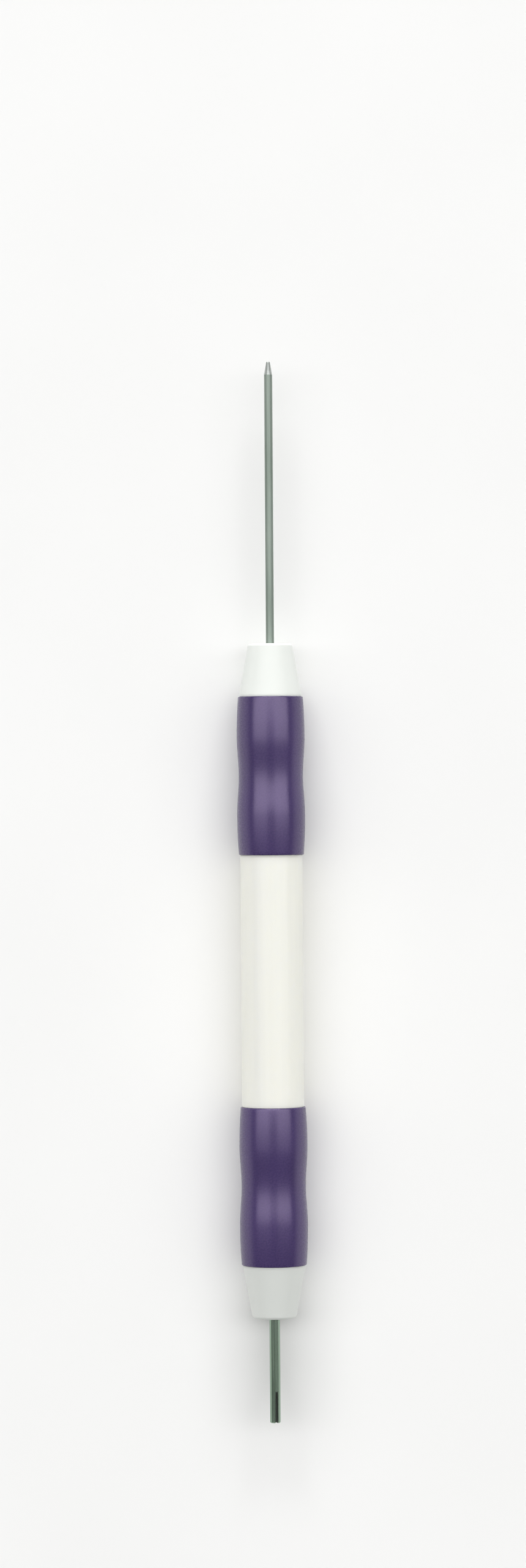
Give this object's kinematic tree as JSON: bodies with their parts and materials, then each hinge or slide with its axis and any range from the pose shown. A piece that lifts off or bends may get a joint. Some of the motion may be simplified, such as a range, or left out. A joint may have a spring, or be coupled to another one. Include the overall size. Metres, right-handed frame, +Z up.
{
  "type": "quilling tool",
  "caption": "Double-ended paper-quilling tool: a slim round handle with soft grips and cone noses, a long plain needle at one end and a short slotted needle at the other.",
  "frame": {"origin": "middle of the overall length, on the surface that the tool lies on, straight below its axis", "axes": "+Y along the tool's axis towards the point of the long needle, +Z up, +X across the tool"},
  "size_m": [0.011, 0.17, 0.0109],
  "materials": {
    "steel_wire": "drawn wire, satin, with a brighter ground point",
    "steel_wire_dark": "drawn wire, lightly polished",
    "white_plastic": "smooth moulded",
    "barrel_plastic": "smooth, slightly milky",
    "purple_grip": "satin soft-touch",
    "spine_plastic": "extruded, unpolished"
  },
  "bodies": {
    "root": {"needle": "steel_wire", "slotted_needle": "steel_wire_dark", "needle_nose": "white_plastic", "slotted_nose": "white_plastic", "needle_end_grip": "purple_grip", "slotted_end_grip": "purple_grip", "barrel_sleeve": "barrel_plastic", "spine_tube": "spine_plastic"}
  },
  "joints": []
}
